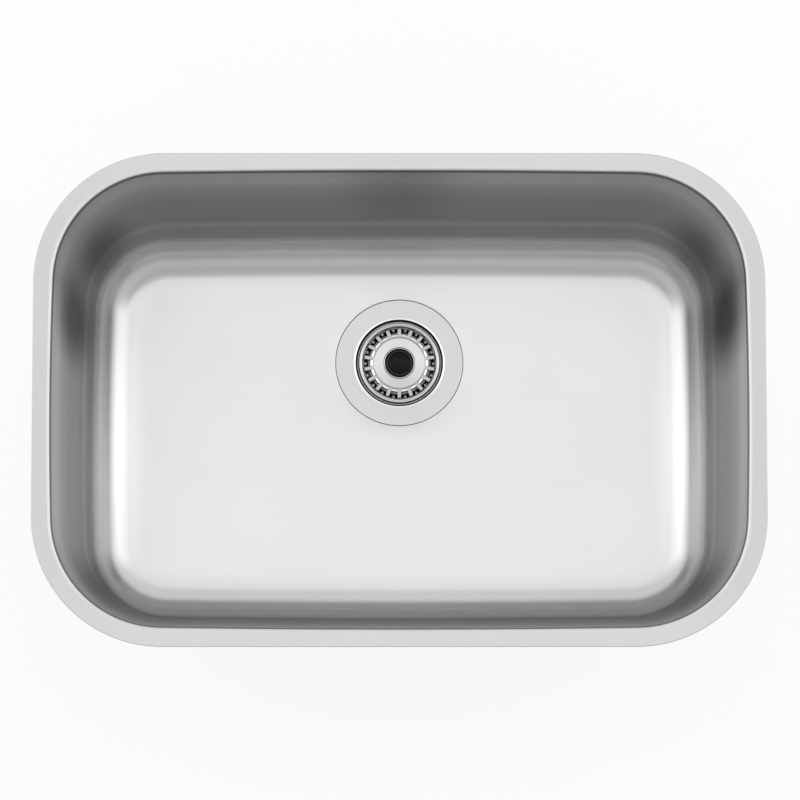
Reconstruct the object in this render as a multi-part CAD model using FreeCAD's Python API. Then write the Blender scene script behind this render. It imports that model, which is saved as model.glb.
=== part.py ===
import FreeCAD, Part
import os
from collections import namedtuple
from math import atan, atan2, cos, degrees, radians, sin, tan
from FreeCAD import Vector

# Undermount kitchen sink with a basket strainer, in millimetres.
# The origin is the centre of the rim's top face: +X to the right, +Y to the back, +Z up.

# ---- Driving sizes: the pressed bowl ----
sheet = 1.2                  # 18 gauge stainless steel
rim_length = 635.0           # over the flat rim, left to right (25 in)
rim_width = 432.0            # over the flat rim, front to back (17 in)
rim_corner_r = 113.5
rim_land = 17.6              # outer edge to the opening, beside the corners
side_crown = 1.6             # how far each side of the opening bows out at its middle
lip_r = 3.6                  # rounded lip between the rim and the wall
wall_draft = radians(10.0)   # lean of the walls
bowl_depth = 200.0           # rim to floor, at the foot of the cove
cove_r = 32.0                # curve between the wall and the floor
floor_fall = 1.5             # fall of the floor to the drain
drain_land = 15.6            # floor between the back cove and the drain recess
drain_hole_r = 44.45         # 3 1/2 in hole
seat_corner_r = 0.6          # inner bend at the foot of the drain recess

# ---- Driving sizes: sound-deadening pads under the floor ----
pad_thickness = 3.0
pad_gap = 12.0               # bare steel round each pad
side_pad_width = 130.0
front_pad_depth = 96.0
pad_corner_r = 8.0

# ---- Driving sizes: strainer body ----
flange_r = 57.15             # 4 1/2 in flange
flange_thickness = 1.2
flange_edge_r = 0.5
flange_dish = 0.35           # fall of the flange to the throat
flange_gap = 0.45            # hairline round the flange
throat_r = 39.3
throat_lip_r = 1.5
ledge_depth = 9.0            # flange face to the ledge that carries the basket
ledge_width = 3.9
cup_depth = 41.0
cup_taper = 2.4              # how much the cup narrows below the ledge
cup_corner_r = 5.0
cup_wall = 2.4
cup_floor = 6.0
neck_r = 42.3                # threaded neck
neck_end = 25.0
outlet_bore_r = 20.5
outlet_thread_r = 23.8       # 1 1/2 in pipe thread
outlet_end = 62.0
outlet_chamfer = 0.8
seat_r = 26.5                # wide end of the cone that the stopper closes on
seat_slope = 0.5             # fall of that cone over its run

# ---- Driving sizes: what clamps the body to the sink ----
flange_gasket_thickness = 1.0
rubber_gasket_thickness = 4.0
rubber_gasket_r = 55.0
friction_washer_thickness = 0.8
locknut_height = 10.0
locknut_ring = 6.0           # wall of the nut between its lugs
locknut_lugs = 8
locknut_lug_width = 11.0
locknut_lug_reach = 5.0

# ---- Driving sizes: tailpiece and its nut ----
tail_r = 19.05               # 1 1/2 in tube
tail_wall = 0.9
tail_length = 100.0
tail_flange_thickness = 1.2
tail_gasket_thickness = 1.6
coupling_flats = 57.0
coupling_sides = 6
coupling_engagement = 13.0
coupling_floor = 2.5
coupling_hole_gap = 1.35     # hole in the nut's floor, round the tube

# ---- Driving sizes: basket ----
rib_count = 18
rib_width = 3.1
rib_thickness = 1.0
rib_fall = 2.2               # how far each rib dips at its outer end
bead_r = 36.2                # outside of the rolled rim
bead_width = 2.9
bead_top = 0.3
skirt_depth = 7.6
crown_sheet = 0.8
crown_top = 1.2
sill_r = 26.2                # inner end of the slots
sill_width = 2.4
sill_fall = 2.2
groove_r = 23.1
groove_depth = 0.4
collar_r = 14.2
collar_width = 1.5
dish_fall = 0.8              # fall of the crown from the groove to the collar
collar_rise = 0.9
pocket_depth = 5.9
cage_play = 0.2
cage_outer_width = 3.4
cage_inner_width = 2.1
cage_spoke_width = 2.4
nub_r = 1.4
nub_circle_r = 30.6
hub_r = 8.0
hub_end = 20.0
arm_count = 6
arm_thickness = 1.6
arm_depth = 4.0
rim_ring_width = 2.3         # rubber outside the skirt
rim_ring_rise = 4.6          # rubber above the ledge, beside the skirt
rim_ring_bead_r = 0.65
bush_wall = 1.5
bush_flange_r = 6.6
bush_flange_thickness = 0.8
bush_end = 15.0
oring_section_r = 1.0

# ---- Driving sizes: knob, stem and stopper ----
stem_r = 3.0
stopper_travel = 8.0
knob_r = 12.4
knob_lip_width = 1.3
knob_dish = 1.9
knob_skin = 1.0              # plastic over the end of the stem
circlip_thickness = 0.8
circlip_r = 5.5
circlip_gap = 2.6
circlip_groove = 0.5
stopper_r = 25.0
stopper_edge = 3.0           # height of the stopper's straight edge
plate_r = 20.0
plate_thickness = 1.2
washer_r = 12.0
washer_thickness = 1.0
stem_nut_flats = 10.0
stem_nut_height = 5.0
stem_tip = 1.2               # thread showing below the nut

# ---- Clearances ----
running = 0.06               # stem in its bush
press = 0.02                 # bush in the hub
thread_play = 0.05           # thread in thread
slip = 0.3                   # loose round parts over one another
soft_gap = 0.3               # rubber against a curved or sloping face
seam = 0.1                   # faces that meet inside the basket

Arc = namedtuple("Arc", "middle end")
FULL_TURN = 360.0


# ---- Shaping steps shared by the pieces ----

def arc(centre, radius, start, end):
    """Return the arc of a section round a centre, between two angles in degrees."""
    middle = radians((start + end) / 2)
    stop = radians(end)
    return Arc((centre[0] + radius * cos(middle), centre[1] + radius * sin(middle)),
               (centre[0] + radius * cos(stop), centre[1] + radius * sin(stop)))


def section_face(section, top_z):
    """Make a flat face in the XZ plane from (radius, depth) points and arcs."""
    def place(point):
        return Vector(point[0], 0, top_z - point[1])

    edges = []
    here = place(section[0])
    for step in list(section[1:]) + [section[0]]:
        if isinstance(step, Arc):
            edges.append(Part.Arc(here, place(step.middle), place(step.end)).toShape())
            here = place(step.end)
        elif (place(step) - here).Length > 1e-6:
            edges.append(Part.makeLine(here, place(step)))
            here = place(step)
    return Part.Face(Part.Wire(edges))


def turned(section, top_z, centre, start=0.0, sweep=FULL_TURN):
    """Turn a section round the vertical axis through a centre."""
    solid = section_face(section, top_z).revolve(Vector(0, 0, 0), Vector(0, 0, 1), sweep)
    solid.rotate(Vector(0, 0, 0), Vector(0, 0, 1), start)
    solid.translate(Vector(centre[0], centre[1], 0))
    return solid


def bar(section, width, top_z, centre, turn):
    """Thicken a section sideways into a radial bar at an angle round a centre."""
    solid = section_face(section, top_z).extrude(Vector(0, width, 0))
    solid.translate(Vector(0, -width / 2, 0))
    solid.rotate(Vector(0, 0, 0), Vector(0, 0, 1), turn)
    solid.translate(Vector(centre[0], centre[1], 0))
    return solid


def around(count, make):
    """Make one copy of a shape for each equal step of a turn."""
    return [make(FULL_TURN * step / count) for step in range(count)]


def polygon_prism(sides, flats, height, low_z, centre):
    """Make an upright prism with a regular outline, sized across its flats."""
    corner_r = flats / 2 / cos(radians(FULL_TURN / sides / 2))
    corners = around(sides, lambda turn: Vector(centre[0] + corner_r * cos(radians(turn)),
                                                centre[1] + corner_r * sin(radians(turn)),
                                                low_z))
    return Part.Face(Part.makePolygon(corners + corners[:1])).extrude(Vector(0, 0, height))


def rounded_block(length, width, corner_r, low_z, height, centre):
    """Make an upright block whose four corners are rounded."""
    block = Part.makeBox(length, width, height,
                         Vector(centre[0] - length / 2, centre[1] - width / 2, low_z))
    upright = [edge for edge in block.Edges
               if abs(edge.Vertexes[0].Z - edge.Vertexes[1].Z) > height / 2]
    return block.makeFillet(corner_r, upright)


def save(node, shape):
    """Write one piece to its own file."""
    shape.exportStep("parts/" + node + ".step")


# ---- Places that the pieces share ----

corner_x = rim_length / 2 - rim_corner_r
corner_y = rim_width / 2 - rim_corner_r
long_bow = 2 * atan(side_crown / corner_x)      # half the turn of a bowed long side
short_bow = 2 * atan(side_crown / corner_y)
long_reach = corner_x / sin(long_bow)           # from that side's far centre to the corner's
short_reach = corner_y / sin(short_bow)

opening_r = rim_corner_r - rim_land
lip_foot = lip_r * (1 - sin(wall_draft))
cove_head = bowl_depth - cove_r * (1 - sin(wall_draft))
cove_head_r = opening_r - (cove_head - lip_foot) * tan(wall_draft)
floor_corner_r = cove_head_r - cove_r * cos(wall_draft)

recess_r = flange_r + flange_gap
recess_rim_r = recess_r + sheet
drain = (0.0, corner_y + floor_corner_r + side_crown - drain_land - recess_rim_r)
flange_z = -(bowl_depth + floor_fall)
seat_depth = flange_thickness + flange_gasket_thickness
under_seat = seat_depth + sheet


# ---- Bowl: rim, walls and cove as one bent section, led round the opening ----

def wall_section(axis_reach):
    """Give the section of rim, lip, wall and cove, at a distance from its turning axis."""
    draft = degrees(wall_draft)
    rim_edge = axis_reach + rim_corner_r + 2 * side_crown
    lip = (axis_reach + opening_r + lip_r * cos(wall_draft), lip_r)
    cove = (axis_reach + floor_corner_r, bowl_depth - cove_r)
    over_x = sheet * cos(wall_draft)
    over_z = sheet * sin(wall_draft)
    return [
        (rim_edge, 0),
        (lip[0], 0),
        arc(lip, lip_r, 270, 180 + draft),
        (axis_reach + cove_head_r, cove_head),
        arc(cove, cove_r, draft, 90),
        (cove[0], bowl_depth + sheet),
        arc(cove, cove_r + sheet, 90, draft),
        (lip[0] - lip_r * cos(wall_draft) + over_x, lip_foot + over_z),
        arc(lip, lip_r - sheet, 180 + draft, 270),
        (rim_edge, sheet),
    ]


def bowl_corner(sign_x, sign_y):
    """Turn the section through one corner, between the two bowed sides."""
    start = {(1, 1): short_bow,
             (-1, 1): radians(90) + long_bow,
             (-1, -1): radians(180) + short_bow,
             (1, -1): radians(270) + long_bow}[(sign_x, sign_y)]
    sweep = radians(90) - long_bow - short_bow
    return turned(wall_section(0), 0, (sign_x * corner_x, sign_y * corner_y),
                  degrees(start), degrees(sweep))


def bowl_side(turn):
    """Lead the section along one bowed side: 0 right, 90 back, 180 left, 270 front."""
    is_long = turn in (90, 270)
    reach = long_reach if is_long else short_reach
    bow = long_bow if is_long else short_bow
    near = corner_y if is_long else corner_x
    back_off = reach * cos(bow) - near
    centre = (-back_off * cos(radians(turn)), -back_off * sin(radians(turn)))
    return turned(wall_section(reach), 0, centre, turn - degrees(bow), 2 * degrees(bow))


def floor_outline(depth):
    """Draw the closed outline where the cove meets the floor, in eight arcs."""
    corners = [(1, 1, short_bow), (-1, 1, radians(90) + long_bow),
               (-1, -1, radians(180) + short_bow), (1, -1, radians(270) + long_bow)]
    sweep = radians(90) - long_bow - short_bow

    def corner_point(corner, angle):
        return Vector(corner[0] * corner_x + floor_corner_r * cos(angle),
                      corner[1] * corner_y + floor_corner_r * sin(angle), -depth)

    half_length = corner_x + floor_corner_r + side_crown
    half_width = corner_y + floor_corner_r + side_crown
    middles = [(0, half_width), (-half_length, 0), (0, -half_width), (half_length, 0)]
    edges = []
    for index, corner in enumerate(corners):
        start = corner_point(corner, corner[2])
        middle = corner_point(corner, corner[2] + sweep / 2)
        end = corner_point(corner, corner[2] + sweep)
        following = corners[(index + 1) % len(corners)]
        side_middle = Vector(middles[index][0], middles[index][1], -depth)
        edges.append(Part.Arc(start, middle, end).toShape())
        edges.append(Part.Arc(end, side_middle,
                              corner_point(following, following[2])).toShape())
    return Part.Wire(edges)


def drain_outline(outline, depth):
    """Draw the drain's rim, in arcs that face the arcs of the floor's outline."""
    def rim_point(angle):
        return Vector(drain[0] + recess_rim_r * cos(angle),
                      drain[1] + recess_rim_r * sin(angle), -depth)

    starts = [edge.valueAt(edge.FirstParameter) for edge in outline.Edges]
    angles = [atan2(point.y - drain[1], point.x - drain[0]) for point in starts]
    edges = []
    for index, angle in enumerate(angles):
        following = angles[(index + 1) % len(angles)]
        if following < angle:
            following += radians(FULL_TURN)
        edges.append(Part.Arc(rim_point(angle), rim_point((angle + following) / 2),
                              rim_point(following)).toShape())
    return Part.Wire(edges)


def floor_bulk(depth):
    """Fill the shallow funnel between the floor's outline and the drain's rim."""
    outline = floor_outline(depth)
    return Part.makeLoft([outline, drain_outline(outline, depth + floor_fall)], True, True)


def floor_layer(below, thickness):
    """Make a layer that follows the floor, a given distance below its inner face."""
    top = bowl_depth + below
    plate = Part.Face(floor_outline(top)).extrude(Vector(0, 0, -thickness))
    plate = plate.fuse(floor_bulk(top + thickness))
    plate = plate.cut(floor_bulk(top))
    return plate.cut(Part.makeCylinder(recess_rim_r, bowl_depth,
                                       Vector(drain[0], drain[1], -1.5 * bowl_depth)))


def make_sink_bowl():
    """Press the bowl from one sheet: rim, lip, walls, cove, floor and drain recess."""
    sides = [bowl_side(turn) for turn in (0, 90, 180, 270)]
    corners = [bowl_corner(*signs) for signs in ((1, 1), (-1, 1), (-1, -1), (1, -1))]
    walls = sides[0].multiFuse(sides[1:] + corners)
    blank = rounded_block(rim_length, rim_width, rim_corner_r,
                          -1.5 * bowl_depth, 2 * bowl_depth, (0, 0))
    walls = walls.common(blank)
    seat_bend = (recess_r - seat_corner_r, seat_depth - seat_corner_r)
    seat = turned([
        (recess_rim_r, 0),
        arc((recess_rim_r, sheet), sheet, 270, 180),
        (recess_r, seat_bend[1]),
        arc(seat_bend, seat_corner_r, 0, 90),
        (drain_hole_r, seat_depth),
        (drain_hole_r, under_seat),
        (seat_bend[0], under_seat),
        arc(seat_bend, seat_corner_r + sheet, 90, 0),
        (recess_rim_r, sheet),
    ], flange_z, drain)
    return walls.multiFuse([floor_layer(0, sheet), seat]).removeSplitter()


def make_sound_pad(length, width, centre):
    """Cut a rubber pad that is glued under the floor."""
    blank = rounded_block(length, width, pad_corner_r, -1.5 * bowl_depth, bowl_depth, centre)
    return floor_layer(sheet, pad_thickness).common(blank)


# ---- Strainer body and what clamps it ----

cup_top_r = throat_r - ledge_width
cup_r = cup_top_r - cup_taper
cup_outer_r = cup_top_r + cup_wall


def make_strainer_body():
    """Turn the body: flange, throat, ledge, cup, stopper seat and threaded outlet."""
    cup_bend = (cup_r - cup_corner_r, cup_depth - cup_corner_r)
    seat_foot = cup_depth + (seat_r - outlet_bore_r) * seat_slope
    return turned([
        (flange_r, flange_thickness),
        (flange_r, flange_edge_r),
        arc((flange_r - flange_edge_r, flange_edge_r), flange_edge_r, 0, -90),
        (throat_r + throat_lip_r, flange_dish),
        arc((throat_r + throat_lip_r, flange_dish + throat_lip_r), throat_lip_r, 270, 180),
        (throat_r, ledge_depth),
        (cup_top_r, ledge_depth),
        (cup_r, cup_bend[1]),
        arc(cup_bend, cup_corner_r, 0, 90),
        (seat_r, cup_depth),
        (outlet_bore_r, seat_foot),
        (outlet_bore_r, outlet_end),
        (outlet_thread_r - outlet_chamfer, outlet_end),
        (outlet_thread_r, outlet_end - outlet_chamfer),
        (outlet_thread_r, cup_depth + cup_floor),
        (cup_outer_r - cup_floor, cup_depth + cup_floor),
        (cup_outer_r, cup_depth),
        (cup_outer_r, neck_end),
        (neck_r, neck_end),
        (neck_r, flange_thickness),
    ], flange_z, drain)


def flat_ring(inner_r, outer_r, top, thickness):
    """Make a flat ring round the drain's axis, a given depth below the flange face."""
    return turned([(inner_r, top), (outer_r, top), (outer_r, top + thickness),
                   (inner_r, top + thickness)], flange_z, drain)


rubber_top = under_seat
friction_top = rubber_top + rubber_gasket_thickness
locknut_top = friction_top + friction_washer_thickness


def make_locknut():
    """Cast the big nut that draws the body down, with lugs for a spanner."""
    bore = neck_r + thread_play
    ring_r = bore + locknut_ring
    lug = [(bore + locknut_ring / 2, locknut_top),
           (ring_r + locknut_lug_reach, locknut_top),
           (ring_r + locknut_lug_reach, locknut_top + locknut_height / 2),
           (ring_r, locknut_top + locknut_height),
           (bore + locknut_ring / 2, locknut_top + locknut_height)]
    lugs = around(locknut_lugs, lambda turn: bar(lug, locknut_lug_width, flange_z, drain, turn))
    return flat_ring(bore, ring_r, locknut_top, locknut_height).multiFuse(lugs)


# ---- Tailpiece ----

tail_top = outlet_end + tail_gasket_thickness
tail_flange_r = outlet_thread_r - outlet_chamfer


def make_tailpiece():
    """Draw the tube, with the flange at its top turned out of the same wall."""
    bore = tail_r - tail_wall
    return turned([(bore, tail_top), (tail_flange_r, tail_top),
                   (tail_flange_r, tail_top + tail_flange_thickness),
                   (tail_r, tail_top + tail_flange_thickness),
                   (tail_r, tail_top + tail_length), (bore, tail_top + tail_length)],
                  flange_z, drain)


def make_coupling_nut():
    """Make the nut that pulls the tailpiece's flange up against the outlet."""
    floor_top = tail_top + tail_flange_thickness
    top = outlet_end - coupling_engagement
    bottom = floor_top + coupling_floor
    blank = polygon_prism(coupling_sides, coupling_flats, bottom - top,
                          flange_z - bottom, drain)
    wide = Part.makeCylinder(outlet_thread_r + thread_play, floor_top - top,
                             Vector(drain[0], drain[1], flange_z - floor_top))
    through = Part.makeCylinder(tail_r + coupling_hole_gap, bottom - top,
                                Vector(drain[0], drain[1], flange_z - bottom))
    return blank.cut(wide).cut(through)


# ---- Basket: steel crown over a moulded cage, with a rubber ring on the ledge ----

bead_inner_r = bead_r - bead_width
skirt_r = bead_r - crown_sheet
cage_top = crown_top + rib_fall + rib_thickness + crown_sheet
cage_thickness = skirt_depth - cage_top
collar_top = crown_top + dish_fall - collar_rise
pocket_r = collar_r - collar_width
bush_r = stem_r + running + bush_wall


def make_basket_crown():
    """Press the crown: rolled rim, ribs, sills, groove, dished disc, collar and pocket."""
    bead_centre_r = bead_r - bead_width / 2
    bead_depth = bead_top + bead_width / 2
    rim = turned([
        (bead_r, skirt_depth),
        (bead_r, bead_depth),
        arc((bead_centre_r, bead_depth), bead_width / 2, 0, -180),
        (bead_inner_r, cage_top - seam),
        (bead_inner_r + crown_sheet, cage_top - seam),
        (bead_inner_r + crown_sheet, bead_depth),
        arc((bead_centre_r, bead_depth), bead_width / 2 - crown_sheet, -180, 0),
        (skirt_r, skirt_depth),
    ], flange_z, drain)
    collar_half = collar_width / 2
    step_r = sill_r - sill_width
    disc_foot = crown_top + dish_fall
    disc = turned([
        (bush_r + seam, pocket_depth),
        (pocket_r, pocket_depth),
        (pocket_r, collar_top + collar_half),
        arc((collar_r - collar_half, collar_top + collar_half), collar_half, 180, 360),
        (collar_r, disc_foot),
        (groove_r - groove_depth, crown_top),
        (groove_r, crown_top + groove_depth),
        (groove_r + groove_depth, crown_top),
        (step_r, crown_top),
        (sill_r, crown_top + sill_fall),
        (sill_r, crown_top + sill_fall + crown_sheet),
        (step_r - crown_sheet / 2, crown_top + crown_sheet + groove_depth),
        (groove_r - groove_depth, crown_top + crown_sheet + groove_depth),
        (collar_r, disc_foot + crown_sheet),
        (pocket_r + crown_sheet, disc_foot + crown_sheet),
        (pocket_r + crown_sheet, pocket_depth + crown_sheet),
        (bush_r + seam, pocket_depth + crown_sheet),
    ], flange_z, drain)
    rib_start = groove_r + groove_depth
    rib_end = bead_inner_r + crown_sheet / 4
    rib_bend = bead_inner_r - rib_thickness - crown_sheet
    rib = [(rib_start, crown_top),
           (rib_bend, crown_top + groove_depth),
           (rib_end, crown_top + rib_fall),
           (rib_end, crown_top + rib_fall + rib_thickness),
           (rib_bend - rib_thickness / 2, crown_top + groove_depth + rib_thickness),
           (rib_start, crown_top + rib_thickness)]
    ribs = around(rib_count, lambda turn: bar(rib, rib_width, flange_z, drain, 90 + turn))
    return disc.multiFuse([rim] + ribs)


def make_basket_cage():
    """Mould the cage under the crown: two rings, spokes, nubs, arms and the hub."""
    outer_r = skirt_r - cage_play
    outer_inner_r = outer_r - cage_outer_width
    inner_r = sill_r - cage_play
    bottom = cage_top + cage_thickness
    rings = [flat_ring(outer_inner_r, outer_r, cage_top, cage_thickness),
             flat_ring(inner_r, inner_r + cage_inner_width, cage_top, cage_thickness)]
    hub_top = pocket_depth + crown_sheet + seam
    oring_top = bush_end + seam
    oring_room = 2 * oring_section_r + seam
    hub = turned([(bush_r + press, hub_top), (hub_r, hub_top), (hub_r, hub_end),
                  (stem_r + slip, hub_end), (stem_r + slip, oring_top + oring_room),
                  (oring_outer_r + seam, oring_top + oring_room),
                  (oring_outer_r + seam, oring_top), (bush_r + press, oring_top)],
                 flange_z, drain)
    spoke = [(inner_r + cage_inner_width / 2, cage_top),
             (outer_inner_r + cage_outer_width / 2, cage_top),
             (outer_inner_r + cage_outer_width / 2, bottom),
             (inner_r + cage_inner_width / 2, bottom)]
    spokes = around(rib_count,
                    lambda turn: bar(spoke, cage_spoke_width, flange_z, drain, 90 + turn))
    arm = [(hub_r - arm_thickness / 2, hub_top), (inner_r + cage_inner_width / 2, hub_top),
           (inner_r + cage_inner_width / 2, bottom), (hub_r - arm_thickness / 2,
                                                      bottom + arm_depth)]
    arms = around(arm_count, lambda turn: bar(arm, arm_thickness, flange_z, drain, 90 + turn))

    def nub(turn):
        angle = radians(90 + turn + FULL_TURN / rib_count / 2)
        foot = Vector(drain[0] + nub_circle_r * cos(angle), drain[1] + nub_circle_r * sin(angle),
                      flange_z - bottom)
        post = Part.makeCylinder(nub_r, cage_thickness - nub_r, foot)
        return post.fuse(Part.makeSphere(nub_r, foot + Vector(0, 0, cage_thickness - nub_r)))

    nubs = around(rib_count, nub)
    return hub.multiFuse(rings + spokes + arms + nubs)


def make_rim_ring():
    """Mould the rubber ring that sits round the skirt and rests on the ledge."""
    outer_r = bead_r + rim_ring_width
    top = ledge_depth - rim_ring_rise
    bead_centre_r = bead_r + rim_ring_width / 2
    return turned([
        (bead_r + press, skirt_depth),
        (bead_r + press, top),
        (bead_centre_r - rim_ring_bead_r, top),
        arc((bead_centre_r, top), rim_ring_bead_r, 180, 360),
        (outer_r, top),
        (outer_r, ledge_depth),
        (skirt_r - cage_play - cage_outer_width / 2, ledge_depth),
        (skirt_r - cage_play - cage_outer_width / 2, skirt_depth),
    ], flange_z, drain)


def make_guide_bush():
    """Turn the flanged bush that pins the crown to the cage and guides the stem."""
    bore = stem_r + running
    top = pocket_depth - bush_flange_thickness
    return turned([(bore, top), (bush_flange_r, top), (bush_flange_r, pocket_depth),
                   (bush_r, pocket_depth), (bush_r, bush_end), (bore, bush_end)],
                  flange_z, drain)


oring_outer_r = stem_r + running + 2 * oring_section_r


def make_stem_oring():
    """Make the rubber ring whose grip holds the stem up or down."""
    depth = bush_end + seam * 1.5 + oring_section_r
    return Part.makeTorus(stem_r + running + oring_section_r, oring_section_r,
                          Vector(drain[0], drain[1], flange_z - depth))


# ---- Knob, stem and stopper: they slide through the basket's bush together ----

knob_bottom = pocket_depth - bush_flange_thickness - 2 * seam
stopper_bottom = cup_depth + (seat_r - outlet_bore_r) * seat_slope - 2 * soft_gap
stopper_top = cup_depth + (seat_r - stopper_r) * seat_slope - soft_gap - stopper_edge
washer_bottom = stopper_bottom + washer_thickness
stem_bottom = washer_bottom + stem_nut_height + stem_tip
circlip_top = hub_end + stopper_travel + seam


def make_knob():
    """Mould the dished black knob, blind below for the end of the stem."""
    lip_inner_r = knob_r - knob_lip_width
    lip_centre = (knob_r - knob_lip_width / 2, knob_lip_width / 2)
    socket_top = knob_dish + knob_skin
    return turned([
        (0, knob_dish),
        Arc((lip_inner_r / 2, knob_dish * 0.8), (lip_inner_r, lip_centre[1])),
        arc(lip_centre, knob_lip_width / 2, 180, 360),
        (knob_r, knob_bottom),
        (stem_r + thread_play, knob_bottom),
        (stem_r + thread_play, socket_top),
        (0, socket_top),
    ], flange_z, drain)


def make_stem():
    """Turn the stem, with the groove that the circlip snaps into."""
    groove_r = stem_r - circlip_groove
    return turned([
        (0, knob_dish + knob_skin + seam),
        (stem_r, knob_dish + knob_skin + seam),
        (stem_r, circlip_top),
        (groove_r, circlip_top),
        (groove_r, circlip_top + circlip_thickness),
        (stem_r, circlip_top + circlip_thickness),
        (stem_r, stem_bottom),
        (0, stem_bottom),
    ], flange_z, drain)


def make_stem_circlip():
    """Stamp the open ring that stops the stem under the hub."""
    ring = flat_ring(stem_r - circlip_groove + thread_play, circlip_r, circlip_top,
                     circlip_thickness)
    mouth = Part.makeBox(circlip_r, circlip_gap, 2 * circlip_thickness,
                         Vector(drain[0], drain[1] - circlip_gap / 2,
                                flange_z - circlip_top - 1.5 * circlip_thickness))
    return ring.cut(mouth)


def make_stopper_seal():
    """Mould the rubber plug, its underside parallel to the seat in the cup."""
    bore = stem_r + thread_play
    cone_top = stopper_top + stopper_edge
    cone_foot_r = stopper_r - (stopper_bottom - cone_top) / seat_slope
    return turned([(bore, stopper_top), (stopper_r, stopper_top), (stopper_r, cone_top),
                   (cone_foot_r, stopper_bottom), (bore, stopper_bottom)], flange_z, drain)


def make_stem_nut():
    """Make the hexagon nut at the foot of the stem."""
    blank = polygon_prism(6, stem_nut_flats, stem_nut_height,
                          flange_z - washer_bottom - stem_nut_height, drain)
    return blank.cut(Part.makeCylinder(stem_r + thread_play, stem_nut_height,
                                       Vector(drain[0], drain[1],
                                              flange_z - washer_bottom - stem_nut_height)))


# ---- Write every piece ----

os.makedirs("parts", exist_ok=True)

floor_half_length = corner_x + floor_corner_r
floor_half_width = corner_y + floor_corner_r
front_pad_length = 2 * (floor_half_length - side_pad_width - 3 * pad_gap)
front_pad_y = pad_gap + front_pad_depth / 2 - floor_half_width
side_pad_x = floor_half_length - pad_gap - side_pad_width / 2
side_pad_length = 2 * (floor_half_width - pad_gap)

save("sink_bowl", make_sink_bowl())
save("sound_pad_left", make_sound_pad(side_pad_width, side_pad_length, (-side_pad_x, 0)))
save("sound_pad_right", make_sound_pad(side_pad_width, side_pad_length, (side_pad_x, 0)))
save("sound_pad_front", make_sound_pad(front_pad_length, front_pad_depth, (0, front_pad_y)))

save("strainer_body", make_strainer_body())
save("flange_gasket", flat_ring(drain_hole_r, recess_r - seat_corner_r, flange_thickness,
                                flange_gasket_thickness))
save("rubber_gasket", flat_ring(neck_r + slip, rubber_gasket_r, rubber_top,
                                rubber_gasket_thickness))
save("friction_washer", flat_ring(neck_r + slip, rubber_gasket_r - slip, friction_top,
                                  friction_washer_thickness))
save("locknut", make_locknut())
save("tail_gasket", flat_ring(tail_r - tail_wall, tail_flange_r, outlet_end,
                              tail_gasket_thickness))
save("tailpiece", make_tailpiece())
save("coupling_nut", make_coupling_nut())

save("basket_crown", make_basket_crown())
save("basket_cage", make_basket_cage())
save("rim_ring", make_rim_ring())
save("guide_bush", make_guide_bush())
save("stem_oring", make_stem_oring())

save("knob", make_knob())
save("stem", make_stem())
save("stem_circlip", make_stem_circlip())
save("stopper_plate", flat_ring(stem_r + thread_play, plate_r, stopper_top - plate_thickness,
                                plate_thickness))
save("stopper_seal", make_stopper_seal())
save("stopper_washer", flat_ring(stem_r + thread_play, washer_r, stopper_bottom,
                                 washer_thickness))
save("stem_nut", make_stem_nut())
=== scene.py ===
from collections import namedtuple
from math import atan, atan2, cos, hypot, pi, radians, sin, tan

import bmesh
import bpy
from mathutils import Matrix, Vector


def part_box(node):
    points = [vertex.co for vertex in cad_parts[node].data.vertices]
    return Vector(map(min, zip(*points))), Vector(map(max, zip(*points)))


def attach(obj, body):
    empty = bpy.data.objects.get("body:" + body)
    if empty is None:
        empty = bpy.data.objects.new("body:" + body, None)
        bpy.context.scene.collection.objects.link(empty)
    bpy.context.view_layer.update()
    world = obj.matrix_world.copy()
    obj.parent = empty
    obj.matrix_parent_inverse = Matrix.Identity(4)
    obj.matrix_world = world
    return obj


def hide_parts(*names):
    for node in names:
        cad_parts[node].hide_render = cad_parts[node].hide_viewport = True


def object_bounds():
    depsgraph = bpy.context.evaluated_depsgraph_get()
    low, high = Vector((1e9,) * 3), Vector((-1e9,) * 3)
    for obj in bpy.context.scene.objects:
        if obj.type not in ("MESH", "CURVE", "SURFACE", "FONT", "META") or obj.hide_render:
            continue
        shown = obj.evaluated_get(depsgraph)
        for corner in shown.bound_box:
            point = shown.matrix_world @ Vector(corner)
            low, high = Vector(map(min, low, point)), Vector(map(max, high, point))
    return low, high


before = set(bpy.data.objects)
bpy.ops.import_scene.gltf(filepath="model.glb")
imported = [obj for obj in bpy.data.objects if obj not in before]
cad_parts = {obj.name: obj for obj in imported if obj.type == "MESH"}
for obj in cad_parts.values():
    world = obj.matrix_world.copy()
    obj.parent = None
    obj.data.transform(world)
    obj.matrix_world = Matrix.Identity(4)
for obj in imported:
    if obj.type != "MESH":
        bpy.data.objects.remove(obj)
cad_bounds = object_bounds()


# ---- Bowl ----
# One pressing in 18 gauge stainless steel: flat rim, rounded lip, four leaning walls, cove and a floor
# that falls a little to the drain. The inside is brushed to a satin grain, along the floor and round the
# walls, the rim is blasted a little duller, and the hidden underside keeps its mill finish.

MM = 0.001
sheet = 1.2 * MM
rim_corner = 113.5 * MM
rim_land = 17.6 * MM
side_crown = 1.6 * MM
lip_round = 3.6 * MM
wall_lean = radians(10.0)
bowl_depth = 200.0 * MM
cove_round = 32.0 * MM
floor_fall = 1.5 * MM
rim_deburr = 0.25 * MM

bowl_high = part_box("sink_bowl")[1]
tube_low, tube_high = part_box("tailpiece")
drain = Vector(((tube_low.x + tube_high.x) / 2, (tube_low.y + tube_high.y) / 2, 0))
flange_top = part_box("strainer_body")[1].z
flange_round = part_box("strainer_body")[1].x - drain.x
recess_round = flange_round + 0.3 * MM
recess_rim = recess_round + sheet
recess_shoulder = 0.35 * MM
recess_depth = 2.2 * MM
recess_bend = 0.6 * MM
drain_hole = 44.45 * MM

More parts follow.
